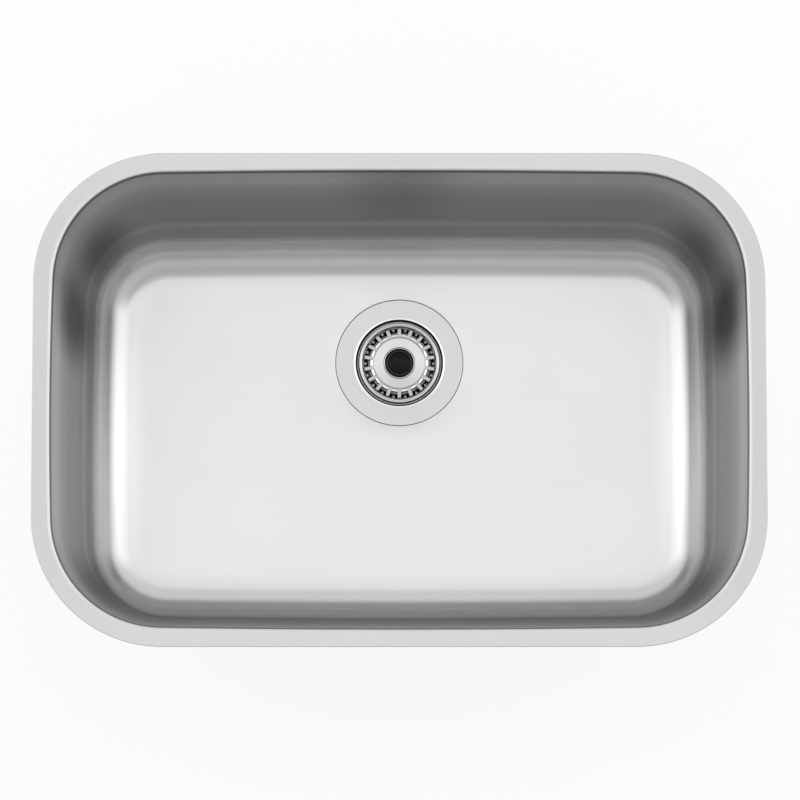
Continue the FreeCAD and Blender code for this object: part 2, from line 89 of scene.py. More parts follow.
corner_at = Vector((bowl_high.x - rim_corner, bowl_high.y - rim_corner, 0))
long_bow = 2 * atan(side_crown / corner_at.x)
short_bow = 2 * atan(side_crown / corner_at.y)
opening_round = rim_corner - rim_land
lip_foot = lip_round * (1 - sin(wall_lean))
cove_head = bowl_depth - cove_round * (1 - sin(wall_lean))
cove_head_round = opening_round - (cove_head - lip_foot) * tan(wall_lean)
floor_round = cove_head_round - cove_round * cos(wall_lean)


def facing(angle):
    """Unit vector on the level, at an angle from the right."""
    return Vector((cos(angle), sin(angle), 0))


# A place round the opening: the centre it is turned from, how far out and which way, the way the rim's
# edge looks there, and its stretch of the opening with its share of it.
Station = namedtuple("Station", "centre reach turn looks stretch share")


def trace_opening(corner_steps, long_steps, short_steps):
    """Stations round the opening, by four corners and four sides that bow out a little."""
    stations = []
    for quarter in range(4):
        turn = quarter * pi / 2
        bow_before, bow_after = (short_bow, long_bow) if quarter % 2 == 0 else (long_bow, short_bow)
        centre = Vector((corner_at.x * (1 if quarter in (0, 3) else -1),
                         corner_at.y * (1 if quarter in (0, 1) else -1), 0))
        sweep = pi / 2 - bow_before - bow_after
        for step in range(corner_steps):
            share = step / corner_steps
            angle = turn + bow_before + sweep * share
            stations.append(Station(centre, 0.0, angle, angle, 2 * quarter, share))
        side_turn = turn + pi / 2
        near, across = (corner_at.y, corner_at.x) if quarter % 2 == 0 else (corner_at.x, corner_at.y)
        reach = across / sin(bow_after)
        centre = -(reach * cos(bow_after) - near) * facing(side_turn)
        steps = long_steps if quarter % 2 == 0 else short_steps
        for step in range(steps):
            share = step / steps
            angle = side_turn - bow_after + 2 * bow_after * share
            stations.append(Station(centre, reach, angle, side_turn, 2 * quarter + 1, share))
    return stations


stations = trace_opening(28, 44, 28)


def on_wall(station, out, z):
    """Point of the wall's section, a distance out from the corner's centre."""
    return station.centre + (station.reach + out) * facing(station.turn) + Vector((0, 0, z))


def on_rim_edge(station, inset, z):
    """Point inside the rim's outer edge, straight along the sides and round at the corners."""
    normal = facing(station.looks)
    if station.reach:
        half = bowl_high.x if abs(normal.x) > abs(normal.y) else bowl_high.y
        along = (half - station.centre.dot(normal)) / cos(station.turn - station.looks)
        edge = station.centre + along * facing(station.turn)
    else:
        edge = station.centre + rim_corner * normal
    return edge - inset * normal + Vector((0, 0, z))


stretch_starts = {}
for station in stations:
    if station.share == 0:
        start = on_wall(station, floor_round, 0) - drain
        stretch_starts[station.stretch] = atan2(start.y, start.x)


def drain_angle(station):
    """Direction from the drain that faces this station."""
    start = stretch_starts[station.stretch]
    stop = stretch_starts[(station.stretch + 1) % 8]
    if stop < start:
        stop += 2 * pi
    return start + (stop - start) * station.share


def floor_level(spot):
    """Height of the floor at a spot: the fall to the drain, and the strip where the cove runs out."""
    to_drain = (spot - drain).length - recess_rim
    beyond = []
    for along, across, near, far in ((spot.x, spot.y, corner_at.x, corner_at.y),
                                     (spot.y, spot.x, corner_at.y, corner_at.x)):
        beyond.append(abs(along) - near - side_crown * max(0.0, 1 - (across / far) ** 2))
    off_corner = hypot(max(beyond[0], 0.0), max(beyond[1], 0.0)) + min(max(beyond), 0.0)
    to_cove = max(0.0, floor_round + foot_start - off_corner)
    fall = floor_fall / (to_cove + to_drain)
    strip = (tan(radians(foot_slope)) - fall) * max(0.0, foot_length - to_cove) ** 2 / (2 * foot_length)
    return strip - fall * to_cove - bowl_depth


def on_foot(station, share, below):
    """Point on the strip where the cove runs out into the floor, from the cove (0) to the floor (1)."""
    start = on_wall(station, floor_round + foot_start, 0)
    reach = min(foot_length, foot_most * ((start - drain).length - recess_rim))
    spot = on_wall(station, floor_round + foot_start - reach * share, 0)
    return spot + Vector((0, 0, floor_level(spot) - below))


def on_floor(station, share, below):
    """Point on the floor, from where the cove has run out (0) to the drain's rim (1)."""
    start = on_foot(station, 1.0, 0.0)
    stop = drain + recess_rim * facing(drain_angle(station))
    spot = Vector((start.x, start.y, 0)).lerp(stop, share)
    return spot + Vector((0, 0, floor_level(spot) - below))


def on_cove(station, out, depth):
    """Point of the cove, lifted up the wall so that it meets the strip."""
    lift = on_foot(station, 0.0, 0.0).z + bowl_depth - cove_round * (1 - cos(radians(foot_slope)))
    return on_wall(station, out + lift * tan(wall_lean), lift - depth)


def round_drain(station, out, depth):
    """Point round the drain, a depth below the flange's face."""
    return drain + out * facing(drain_angle(station)) + Vector((0, 0, flange_top - depth))


def bend(centre, radius, start, stop, steps):
    """Points (out, depth) on an arc of the section, angles in degrees, its start left out."""
    turns = [radians(start + (stop - start) * (step + 1) / steps) for step in range(steps)]
    return [(centre[0] + radius * cos(turn), centre[1] + radius * sin(turn)) for turn in turns]


def draw_marks(depth):
    """Faint rings and a low shoulder that the press leaves, as a distance inside the true wall."""
    broad_ring, fine_ring, full_swell = 0.12 * MM, 0.05 * MM, 0.45 * MM
    shoulder_at, steepness = 0.965, 130
    share = (depth - lip_foot) / (cove_head - lip_foot)
    rings = (broad_ring * sin(share * 9.0) + fine_ring * sin(share * 31.0 + 1.0)) * sin(pi * share)
    swell = full_swell * max(0.0, share - 0.5) * 2
    shoulder = 1 / (1 + 2.718 ** (-(share - shoulder_at) * steepness))
    return rings - swell * (1 - shoulder)


lean = wall_lean * 180 / pi
lip_centre = (opening_round + lip_round * cos(wall_lean), lip_round)
land_slope = 11.5
land_fall = 0.35 * MM
edge_round = 1.3 * MM
edge_foot = land_fall + edge_round * (cos(radians(land_slope)) - sin(wall_lean))
edge_centre = (opening_round + (lip_foot - edge_foot) * tan(wall_lean) + edge_round * cos(wall_lean),
               edge_foot + edge_round * sin(wall_lean))
land_width = lip_centre[0] - edge_centre[0] + edge_round * sin(radians(land_slope))
cove_centre = (floor_round, bowl_depth - cove_round)
foot_slope = 5.5
foot_length = 17 * MM
foot_most = 0.75
foot_start = cove_round * sin(radians(foot_slope))
seat_bend = (recess_round - recess_bend, recess_depth - recess_bend)
under_seat = recess_depth + sheet
wall_shares = [step / 40 for step in range(1, 38)] + [0.94 + 0.004 * step for step in range(15)]

# Rows of the shell as (zone, two measures, finish): 0 satin inside, 1 rim, 2 mill finish, 3 polished land.
profile = [("edge", rim_deburr, 0.0, 1), ("edge", 3 * rim_deburr, 0.0, 1),
           ("wall", lip_centre[0] + 0.6 * MM, 0.0, 1), ("wall", lip_centre[0], 0.0, 1)]
profile += [("wall", lip_centre[0] - land_width * share, land_fall * share ** 1.3, 3)
            for share in (0.15, 0.3, 0.45, 0.6, 0.75, 0.88, 1.0)]
profile += [("wall", out, depth, 0)
            for out, depth in bend(edge_centre, edge_round, 270 - land_slope, 180 + lean, 7)]
for share in wall_shares:
    depth = lip_foot + (cove_head - lip_foot) * share
    out = opening_round - (depth - lip_foot) * tan(wall_lean)
    profile.append(("wall", out - draw_marks(depth), depth, 0))
profile += [("cove", out, depth, 0)
            for out, depth in bend(cove_centre, cove_round, lean, 90 - foot_slope, 24)]
profile += [("foot", step / 10, 0.0, 0) for step in range(1, 11)]
profile += [("floor", share, 0.0, 0) for share in (0.15, 0.35, 0.55, 0.75, 0.9)]
recess_lip = (recess_round + recess_shoulder, recess_shoulder)
profile.append(("drain", recess_lip[0], 0.0, 0))
profile += [("drain", out, depth, 0) for out, depth in bend(recess_lip, recess_shoulder, 270, 180, 5)]
profile.append(("drain", recess_round, seat_bend[1], 0))
profile += [("drain", out, depth, 0) for out, depth in bend(seat_bend, recess_bend, 0, 90, 4)]
profile += [("drain", drain_hole, recess_depth, 2), ("drain", drain_hole, under_seat, 2),
            ("drain", seat_bend[0], under_seat, 2)]
profile += [("drain", out, depth, 2)
            for out, depth in bend(seat_bend, recess_bend + sheet, 90, 0, 5)]
profile.append(("drain", recess_rim, sheet, 2))
profile += [("floor", share, sheet, 2) for share in (0.9, 0.5, 0.1)]
profile.append(("wall", floor_round, bowl_depth + sheet, 2))
profile += [("wall", out, depth, 2)
            for out, depth in bend(cove_centre, cove_round + sheet, 90, lean, 18)]
profile += [("wall", lip_centre[0] + (sheet - lip_round) * cos(wall_lean),
             lip_foot + sheet * sin(wall_lean), 2)]
profile += [("wall", out, depth, 2)
            for out, depth in bend(lip_centre, lip_round - sheet, 180 + lean, 270, 6)]
profile += [("edge", 3 * rim_deburr, sheet, 2), ("edge", rim_deburr, sheet, 2),
            ("edge", 0.0, sheet - rim_deburr, 1), ("edge", 0.0, rim_deburr, 1)]

makers = {"wall": lambda station, out, depth: on_wall(station, out, -depth),
          "edge": lambda station, inset, depth: on_rim_edge(station, inset, -depth),
          "cove": on_cove, "foot": on_foot, "floor": on_floor, "drain": round_drain}


def weave_shell(name, stations, profile):
    """Closed shell over stations and profile, with the grain's run kept as a UV map."""
    mesh = bpy.data.meshes.new(name)
    shell = bmesh.new()
    grain = shell.loops.layers.uv.new("grain")
    rows = [[shell.verts.new(makers[zone](station, first, second)) for station in stations]
            for zone, first, second, finish in profile]
    lip_row = [on_wall(station, opening_round, 0) for station in stations]
    girth = [0.0]
    for here, there in zip(lip_row, lip_row[1:] + lip_row[:1]):
        girth.append(girth[-1] + (there - here).length)
    run = [0.0]
    for here, there in zip(rows, rows[1:] + rows[:1]):
        run.append(run[-1] + (there[0].co - here[0].co).length)
    for row, (zone, first, second, finish) in enumerate(profile):
        below = (row + 1) % len(rows)
        flat = zone in ("foot", "floor", "drain") or profile[below][0] == "floor"
        for column in range(len(stations)):
            beside = (column + 1) % len(stations)
            corners = [rows[row][column], rows[below][column],
                       rows[below][beside], rows[row][beside]]
            face = shell.faces.new(corners)
            face.smooth = True
            face.material_index = profile[below][3]
            spots = [(girth[column], run[row]), (girth[column], run[row + 1]),
                     (girth[column + 1], run[row + 1]), (girth[column + 1], run[row])]
            for loop, spot in zip(face.loops, spots):
                loop[grain].uv = (loop.vert.co.x, loop.vert.co.y) if flat else spot
    bmesh.ops.recalc_face_normals(shell, faces=shell.faces)
    shell.to_mesh(mesh)
    shell.free()
    piece = bpy.data.objects.new(name, mesh)
    bpy.context.scene.collection.objects.link(piece)
    return piece


def feed(tree, node, given):
    """Give a node's inputs plain values, or link them to the sockets that feed them."""
    for socket, value in given.items():
        if hasattr(value, "links"):
            tree.links.new(value, node.inputs[socket])
        else:
            node.inputs[socket].default_value = value


def wire(tree, kind, given=None, **settings):
    """Add a node to a tree, with its settings by name and its inputs fed."""
    node = tree.nodes.new(kind)
    for label, value in settings.items():
        setattr(node, label, value)
    feed(tree, node, given or {})
    return node


def new_finish(name):
    """Plain material, its node tree and its shader."""
    finish = bpy.data.materials.new(name)
    finish.use_nodes = True
    return finish, finish.node_tree, finish.node_tree.nodes["Principled BSDF"]


def noise(tree, place, scale, detail):
    """Soft noise over a place."""
    return wire(tree, "ShaderNodeTexNoise",
                {"Vector": place, "Scale": scale, "Detail": detail}).outputs["Fac"]


def grained_steel(name, tone, roughness, streak=0.03, pull=0.2, depth=0.1, stained=0.025,
                  fine=(30.0, 2600.0), broad=(5.0, 420.0)):
    """Brushed steel: fine and broad scratches along the grain, with a little soft mottling."""
    finish, tree, shader = new_finish(name)
    grain = wire(tree, "ShaderNodeUVMap", uv_map="grain").outputs["UV"]

    def scratches(per_metre, detail):
        stretched = wire(tree, "ShaderNodeMapping", {"Vector": grain, "Scale": (*per_metre, 1.0)})
        return noise(tree, stretched.outputs["Vector"], 1.0, detail)

    scratched = wire(tree, "ShaderNodeMix", {0: 0.45, 2: scratches(fine, 3.0), 3: scratches(broad, 2.0)},
                     data_type="FLOAT").outputs[0]
    mottle = noise(tree, wire(tree, "ShaderNodeTexCoord").outputs["Object"], 9.0, 2.0)
    rough = wire(tree, "ShaderNodeMapRange",
                 {"Value": scratched, "From Min": 0.25, "From Max": 0.75,
                  "To Min": roughness - streak, "To Max": roughness + streak}).outputs["Result"]
    uneven = wire(tree, "ShaderNodeMath", {0: mottle, 1: 0.05, 2: rough}, operation="MULTIPLY_ADD")
    stain = tone * (1 - stained)
    shade = wire(tree, "ShaderNodeMix", {0: scratched, 6: (stain, stain, stain * 0.998, 1),
                                         7: (tone, tone, tone * 0.998, 1)}, data_type="RGBA")
    scored = wire(tree, "ShaderNodeBump", {"Height": scratched, "Strength": depth, "Distance": 0.02 * MM})
    along = wire(tree, "ShaderNodeTangent", direction_type="UV_MAP", uv_map="grain")
    feed(tree, shader, {"Metallic": 1.0, "Anisotropic": pull, "Tangent": along.outputs["Tangent"],
                        "Base Color": shade.outputs[2], "Roughness": uneven.outputs["Value"],
                        "Normal": scored.outputs["Normal"]})
    return finish


def paint_bowl_light_and_shade(finish, painted_shading_levels, edges, spots):
    """Paint light and shade into a steel down the bowl: painted shade and highlight bands by (depth, share)
    steps, painted dark and bright reflections in soft spots, and the tint of its reflections between two
    (depth, tone) pairs, as painted shade on the walls."""
    tree = finish.node_tree
    shader = tree.nodes["Principled BSDF"]
    place = wire(tree, "ShaderNodeTexCoord").outputs["Object"]
    height = wire(tree, "ShaderNodeSeparateXYZ", {"Vector": place}).outputs["Z"]
    lowest = painted_shading_levels[-1][0]
    down = wire(tree, "ShaderNodeMapRange", {"Value": height, "From Min": 0.0, "From Max": -lowest * MM})
    ramp = wire(tree, "ShaderNodeValToRGB", {"Fac": down.outputs["Result"]})
    ramp.color_ramp.interpolation = "EASE"
    stops = ramp.color_ramp.elements
    while len(stops) < len(painted_shading_levels):
        stops.new(0.5)
    for stop, (depth, share) in zip(stops, painted_shading_levels):
        stop.position = depth / lowest
    for stop, (depth, share) in zip(stops, painted_shading_levels):
        stop.color = (share, share, share, 1)
    painted_shading_factors = [ramp.outputs["Color"]]

    # Painted shade on the reflections: their tint is darker on the walls than in the cove and on the floor.
    (upper, upper_tone), (lower, lower_tone) = edges
    edge = wire(tree, "ShaderNodeMapRange",
                {"Value": height, "From Min": -lower * MM, "From Max": -upper * MM,
                 "To Min": lower_tone, "To Max": upper_tone}, interpolation_type="SMOOTHSTEP")
    feed(tree, shader, {"Specular Tint": edge.outputs["Result"]})

    # Painted reflections: a spot under 1 darkens the steel as a painted dark reflection, one over 1
    # lightens it as a painted highlight.
    for centre, reach, share in spots:
        away = wire(tree, "ShaderNodeVectorMath", {0: place, 1: [part * MM for part in centre]},
                    operation="SUBTRACT")
        scaled = wire(tree, "ShaderNodeVectorMath",
                      {0: away.outputs["Vector"], 1: [part * MM for part in reach]}, operation="DIVIDE")
        far = wire(tree, "ShaderNodeVectorMath", {0: scaled.outputs["Vector"]}, operation="LENGTH")
        fade = wire(tree, "ShaderNodeMapRange",
                    {"Value": far.outputs["Value"], "From Min": 0.15, "To Min": share, "To Max": 1.0},
                    interpolation_type="SMOOTHSTEP")
        painted_shading_factors.append(fade.outputs["Result"])

    painted_colour = shader.inputs["Base Color"].links[0].from_socket
    for share in painted_shading_factors:
        painted_colour = wire(tree, "ShaderNodeMix", {0: 1.0, 6: painted_colour, 7: share},
                     data_type="RGBA", blend_type="MULTIPLY").outputs[2]
    feed(tree, shader, {"Base Color": painted_colour})
    return finish


bowl = weave_shell("bowl_pressing", stations, profile)
# Painted light and shade inside the bowl: a painted dark line at the lip's bend, walls painted lighter near
# the top and darker lower down, painted highlight bands near 130 mm deep and at the cove's head, a painted
# dark tint on the walls' reflections, soft painted dark reflections on the side walls and corners, and
# painted highlights on the side coves.
bowl.data.materials.append(paint_bowl_light_and_shade(
    grained_steel("satin_bowl_steel_painted_shading", 0.62, 0.28),
    [(0, 0.42), (3.2, 0.42), (6.4, 1.12), (22, 1.15), (46, 0.9), (72, 0.76), (96, 0.74), (116, 0.7),
     (130, 0.88), (138, 0.76), (150, 0.8), (160, 0.82), (168, 1.0), (173, 1.45), (178, 1.25),
     (186, 1.25), (193, 1.1), (199, 1.0), (203, 1.0)],
    [(145, 0.45), (182, 1.0)],
    [((280, 86, -78), (70, 64, 115), 0.1), ((262, 148, -110), (45, 45, 75), 0.55),
     ((-280, 84, -82), (70, 58, 105), 0.25), ((-262, 148, -110), (45, 45, 75), 0.55),
     ((262, -152, -90), (45, 45, 90), 0.6), ((-262, -152, -90), (45, 45, 90), 0.6),
     ((270, -30, -165), (70, 140, 42), 1.28), ((-270, -30, -165), (70, 140, 42), 1.18),
     ((252, -10, -190), (36, 170, 20), 1.2), ((-252, -10, -190), (36, 170, 20), 1.19)]))
bowl.data.materials.append(grained_steel("blasted_rim_steel", 0.58, 0.38, pull=0.2, depth=0.15))
bowl.data.materials.append(grained_steel("mill_finish_steel", 0.5, 0.36, streak=0.08, pull=0.3, depth=0.4,
                                         stained=0.32, fine=(1100.0, 14.0), broad=(150.0, 4.0)))
bowl.data.materials.append(grained_steel("polished_lip_steel", 0.63, 0.3, pull=0.2, depth=0.05))
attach(bowl, "sink")
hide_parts("sink_bowl")


# ---- Sound pads ----
# Three die-cut slabs of filled rubber, glued under the floor so that water and dishes sound dull.
# Their skin is faintly pebbled.

def grained_skin(tree, shader, grain, tones, tone_share, rough_from, rough_to, depth, height):
    """Give a shader a colour between two tones, and a roughness and bumps that follow a fine noise."""
    shade = wire(tree, "ShaderNodeMix", {0: tone_share, 6: (*tones[0], 1), 7: (*tones[1], 1)},
                 data_type="RGBA")
    rough = wire(tree, "ShaderNodeMapRange", {"Value": grain, "To Min": rough_from, "To Max": rough_to})
    raised = wire(tree, "ShaderNodeBump", {"Height": grain, "Strength": depth, "Distance": height})
    feed(tree, shader, {"Base Color": shade.outputs[2], "Roughness": rough.outputs["Result"],
                        "Normal": raised.outputs["Normal"]})


def moulded(name, tone, roughness, grit=900.0, depth=0.12, worn=0.15):
    """Moulded plastic or rubber: a slightly uneven colour with a fine pebbled skin."""
    finish, tree, shader = new_finish(name)
    place = wire(tree, "ShaderNodeTexCoord").outputs["Object"]
    tones = [part * (1 - worn) for part in tone], [min(1.0, part * (1 + worn)) for part in tone]
    grained_skin(tree, shader, noise(tree, place, grit, 3.0), tones, noise(tree, place, 35.0, 2.0),
                 roughness - 0.08, roughness + 0.08, depth, 0.05 * MM)
    return finish


def coat_node(node, finish):
    """Give a CAD node that keeps its own shape a finish."""
    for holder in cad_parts[node].material_slots:
        holder.material = finish


pad_rubber = moulded("pebbled_pad_rubber", (0.032, 0.033, 0.035), 0.72, grit=420.0, depth=0.6)
for pad in ("sound_pad_left", "sound_pad_right", "sound_pad_front"):
    coat_node(pad, pad_rubber)


# ---- Strainer body ----
# Turned from cast stainless steel: the wide flange that lies flush in its recess, the rounded throat,
# the ledge that carries the basket, the cup and the cone that the stopper closes on. Outside it has the
# neck thread for the big nut; the outlet's outside is turned plain.

def mm(section):
    """Section given in millimetres, as metres."""
    return [(out * MM, depth * MM) for out, depth in section]


def soften(section, radius, steps=4):
    """Round each corner of a closed (out, depth) section, and hold the flats right up to the corners."""
    points = []
    count = len(section)
    for index in range(count):
        before, here, after = (Vector(section[(index + shift) % count]) for shift in (-1, 0, 1))
        back, on = before - here, after - here
        if here.x < 1e-9 or back.angle(on) > radians(172):
            points.append(tuple(here))
            continue
        opening = back.angle(on)
        reach = min(radius / tan(opening / 2), 0.42 * min(back.length, on.length))
        start = here + back.normalized() * reach
        stop = here + on.normalized() * reach
        hold = min(0.25 * reach, 0.04 * min(back.length, on.length))
        points.append(tuple(start + back.normalized() * hold))
        for step in range(steps + 1):
            share = step / steps
            points.append(tuple(start * (1 - share) ** 2 + here * 2 * share * (1 - share)
                                + stop * share ** 2))
        points.append(tuple(stop + on.normalized() * hold))
    return points


def new_tree(name, inputs, output):
    """Geometry tree with named inputs and one output, and the sockets that its inputs come in by."""
    tree = bpy.data.node_groups.new(name, "GeometryNodeTree")
    for label, kind in inputs:
        tree.interface.new_socket(label, in_out="INPUT", socket_type="NodeSocket" + kind)
    tree.interface.new_socket(output, in_out="OUTPUT", socket_type="NodeSocketGeometry")
    return tree, tree.nodes.new("NodeGroupInput").outputs


def hand_out(tree, geometry, finish, output):
    """End a tree: its instances made real, its finish set, and out."""
    real = wire(tree, "GeometryNodeRealizeInstances", {"Geometry": geometry})
    coat = wire(tree, "GeometryNodeSetMaterial", {"Geometry": real.outputs["Geometry"], "Material": finish})
    wire(tree, "NodeGroupOutput", {output: coat.outputs["Geometry"]})


def lathe_tree():
    """Geometry nodes that turn a row of section points round the drain's axis into a closed skin."""
    tree, given = new_tree("lathe", (
        ("Section", "Geometry"), ("Steps", "Int"), ("Top", "Float"), ("Girth", "Float"), ("Sides", "Int"),
        ("Flats", "Float"), ("Corner Out", "Float"), ("Thread Out", "Float"), ("Thread From", "Float"),
        ("Thread To", "Float"), ("Thread Pitch", "Float"), ("Thread Cut", "Float"),
        ("Finish", "Material")), "Turned")

    def sum_up(kind, *values):
        return wire(tree, "ShaderNodeMath", dict(enumerate(values)), operation=kind).outputs["Value"]

    size = wire(tree, "GeometryNodeAttributeDomainSize", {"Geometry": given["Section"]})
    rows = size.outputs["Point Count"]
    columns = sum_up("ADD", given["Steps"], 1)
    skin = wire(tree, "GeometryNodeMeshGrid", {"Vertices X": sum_up("ADD", rows, 1), "Vertices Y": columns})
    number = wire(tree, "GeometryNodeInputIndex").outputs["Index"]
    row = sum_up("FLOOR", sum_up("DIVIDE", sum_up("ADD", number, 0.5), columns))
    share = sum_up("DIVIDE", sum_up("SUBTRACT", number, sum_up("MULTIPLY", row, columns)), given["Steps"])
    closing = sum_up("COMPARE", row, rows, 0.5)
    taken = sum_up("MULTIPLY", row, sum_up("SUBTRACT", 1.0, closing))

    def read(kind, field):
        """Value of the section at the point that this row of the skin takes."""
        return wire(tree, "GeometryNodeSampleIndex",
                    {"Geometry": given["Section"], "Value": field, "Index": taken},
                    data_type=kind).outputs["Value"]

    place = read("FLOAT_VECTOR", wire(tree, "GeometryNodeInputPosition").outputs["Position"])
    split = wire(tree, "ShaderNodeSeparateXYZ", {"Vector": place})
    out, depth = split.outputs["X"], sum_up("MULTIPLY", split.outputs["Z"], -1.0)
    turn = sum_up("MULTIPLY", share, 2 * pi)

    pitch_share = sum_up("SUBTRACT", sum_up("DIVIDE", depth, given["Thread Pitch"]), share)
    wave = sum_up("MULTIPLY", sum_up("COSINE", sum_up("MULTIPLY", pitch_share, 2 * pi)), -0.5)
    wave = sum_up("ADD", wave, 0.5)
    on_thread = sum_up("COMPARE", out, given["Thread Out"], 0.02 * MM)
    run_in = sum_up("DIVIDE", sum_up("SUBTRACT", depth, given["Thread From"]), given["Thread Pitch"])
    run_out = sum_up("DIVIDE", sum_up("SUBTRACT", given["Thread To"], depth), given["Thread Pitch"])
    for run in (run_in, run_out):
        run.node.use_clamp = True
        on_thread = sum_up("MULTIPLY", on_thread, run)
    cut = sum_up("MULTIPLY", sum_up("MULTIPLY", wave, on_thread), given["Thread Cut"])
    out = sum_up("SUBTRACT", out, cut)

    flat_turn = sum_up("DIVIDE", 2 * pi, given["Sides"])
    half_turn = sum_up("DIVIDE", pi, given["Sides"])
    within = sum_up("SUBTRACT", sum_up("FLOORED_MODULO", turn, flat_turn), half_turn)
    flat_out = sum_up("DIVIDE", sum_up("DIVIDE", given["Flats"], 2.0), sum_up("COSINE", within))
    out = sum_up("MINIMUM", out, sum_up("MINIMUM", flat_out, given["Corner Out"]))

    spot = wire(tree, "ShaderNodeCombineXYZ",
                {"X": sum_up("MULTIPLY_ADD", out, sum_up("COSINE", turn), drain.x),
                 "Y": sum_up("MULTIPLY_ADD", out, sum_up("SINE", turn), drain.y),
                 "Z": sum_up("SUBTRACT", given["Top"], depth)})
    run = wire(tree, "GeometryNodeInputNamedAttribute", {"Name": "run"}, data_type="FLOAT")
    seam = sum_up("MULTIPLY", closing, given["Girth"])
    down = sum_up("ADD", read("FLOAT", run.outputs["Attribute"]), seam)
    grain = wire(tree, "ShaderNodeCombineXYZ",
                 {"X": sum_up("MULTIPLY", turn, sum_up("MAXIMUM", out, 3 * MM)), "Y": down})
    kept = wire(tree, "GeometryNodeStoreNamedAttribute",
                {"Geometry": skin.outputs["Mesh"], "Name": "grain", "Value": grain.outputs["Vector"]},
                data_type="FLOAT2", domain="CORNER")
    moved = wire(tree, "GeometryNodeSetPosition",
                 {"Geometry": kept.outputs["Geometry"], "Position": spot.outputs["Vector"]})
    closed = wire(tree, "GeometryNodeMergeByDistance",
                  {"Geometry": moved.outputs["Geometry"], "Distance": 0.0005 * MM})
    smooth = wire(tree, "GeometryNodeSetShadeSmooth", {"Geometry": closed.outputs["Geometry"]})
    hand_out(tree, smooth.outputs["Geometry"], given["Finish"], "Turned")
    return tree


def make_plain(piece, tree, settings):
    """Run a geometry tree on a piece, with its settings by name, and keep the result as its mesh."""
    maker = piece.modifiers.new(tree.name, "NODES")
    maker.node_group = tree
    for socket in tree.interface.items_tree:
        if socket.in_out == "INPUT" and socket.name in settings:
            maker[socket.identifier] = settings[socket.name]
    bpy.context.view_layer.update()
    seen = piece.evaluated_get(bpy.context.evaluated_depsgraph_get())
    plain = bpy.data.meshes.new_from_object(seen)
    piece.modifiers.remove(maker)
    piece.data = plain
    if plain.materials[0] is None:
        plain.materials.pop(index=0)
    body = bmesh.new()
    body.from_mesh(plain)
    bmesh.ops.recalc_face_normals(body, faces=body.faces)
    body.to_mesh(plain)
    body.free()


lathe = lathe_tree()


def turn_piece(name, section, finish, steps=96, **settings):
    """Turn a closed section, in metres below the flange's face, into a piece on the drain's axis."""
    mesh = bpy.data.meshes.new(name)
    mesh.from_pydata([(out, 0, -depth) for out, depth in section], [], [])
    run = [0.0]
    for here, there in zip(section, section[1:] + section[:1]):
        run.append(run[-1] + hypot(there[0] - here[0], there[1] - here[1]))
    mesh.attributes.new("run", "FLOAT", "POINT").data.foreach_set("value", run[:-1])
    piece = bpy.data.objects.new(name, mesh)
    bpy.context.scene.collection.objects.link(piece)
    plan = {"Steps": steps, "Top": flange_top, "Girth": run[-1], "Sides": 6, "Flats": 1.0,
            "Corner Out": 1.0, "Thread Out": 1.0, "Thread From": 0.0, "Thread To": 0.0,
            "Thread Pitch": 0.01, "Thread Cut": 0.0, "Finish": finish}
    plan.update({label.replace("_", " ").title(): value for label, value in settings.items()})
    make_plain(piece, lathe, plan)
    return piece


def fit(piece, body, node):
    """Let a finished piece ride on its body and stand for its CAD node."""
    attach(piece, body)
    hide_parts(node)


def threaded(out, start, stop, step=0.26):
    """Close rows of section points down a thread, in millimetres."""
    count = round(abs(stop - start) / step)
    return [(out, start + (stop - start) * index / count) for index in range(count + 1)]


flange_steel = grained_steel("satin_flange_steel", 0.53, 0.27)
body_section = [(57.15, 1.2), (57.15, 0.3)] + bend((56.85, 0.3), 0.3, 0, -90, 6)
body_section += [(56.5, 0.0), (41.15, 0.3), (40.95, 0.31), (40.8, 0.34), (40.6, 0.37), (39.85, 0.46)]
body_section += bend((39.7, 0.86), 0.4, 262, 180, 6)
body_section += [(39.3, 1.2), (39.3, 8.7), (39.0, 9.0), (35.7, 9.0), (35.4, 9.4), (33.0, 36.0)]
body_section += bend((28.0, 36.0), 5.0, 0, 90, 10)
body_section += [(26.8, 41.0), (26.2, 41.15), (20.7, 43.9), (20.5, 44.3), (20.5, 61.8), (20.7, 62.0),
                 (22.8, 62.0), (23.0, 62.0)]
body_section += threaded(23.8, 61.2, 47.3)
body_section += [(24.1, 47.0), (31.6, 47.0), (32.0, 46.8), (37.6, 41.2), (37.8, 40.7), (37.8, 25.3),
                 (38.1, 25.0), (41.7, 25.0)]
body_section += threaded(42.3, 24.5, 3.8)
body_section += [(42.3, 1.5), (42.6, 1.2), (56.9, 1.2)]
strainer = turn_piece("strainer_turning", mm(body_section), flange_steel, 168,
                      thread_out=42.3 * MM, thread_from=3.8 * MM, thread_to=24.5 * MM,
                      thread_pitch=2.1 * MM, thread_cut=0.9 * MM)


def paint_highlight_band(piece, finish, near, far, low):
    """Give the faces between two distances from the axis, down to a depth, another finish: a lighter one,
    as a painted highlight band.
    """
    piece.data.materials.append(finish)
    for face in piece.data.polygons:
        out = hypot(face.center.x - drain.x, face.center.y - drain.y)
        if near * MM < out < far * MM and flange_top - face.center.z < low * MM:
            face.material_index = len(piece.data.materials) - 1


# Partly real polish, partly a painted highlight: much lighter than the flange's steel, for the throat's
# rounded lip and the crown's sills.
polish_and_painted_highlight_steel = grained_steel("polished_edge_steel_painted_highlight", 0.86, 0.14, streak=0.02, pull=0.2, depth=0.03)
paint_highlight_band(strainer, polish_and_painted_highlight_steel, 39.5, 40.95, 0.6)
fit(strainer, "sink", "strainer_body")


# ---- Gaskets and friction washer ----
# A thin foam ring seals the flange in its recess. Under the bowl a thick black rubber ring is squeezed
# by the nut, with a fibre washer between so that the nut slides and does not drag the rubber round.

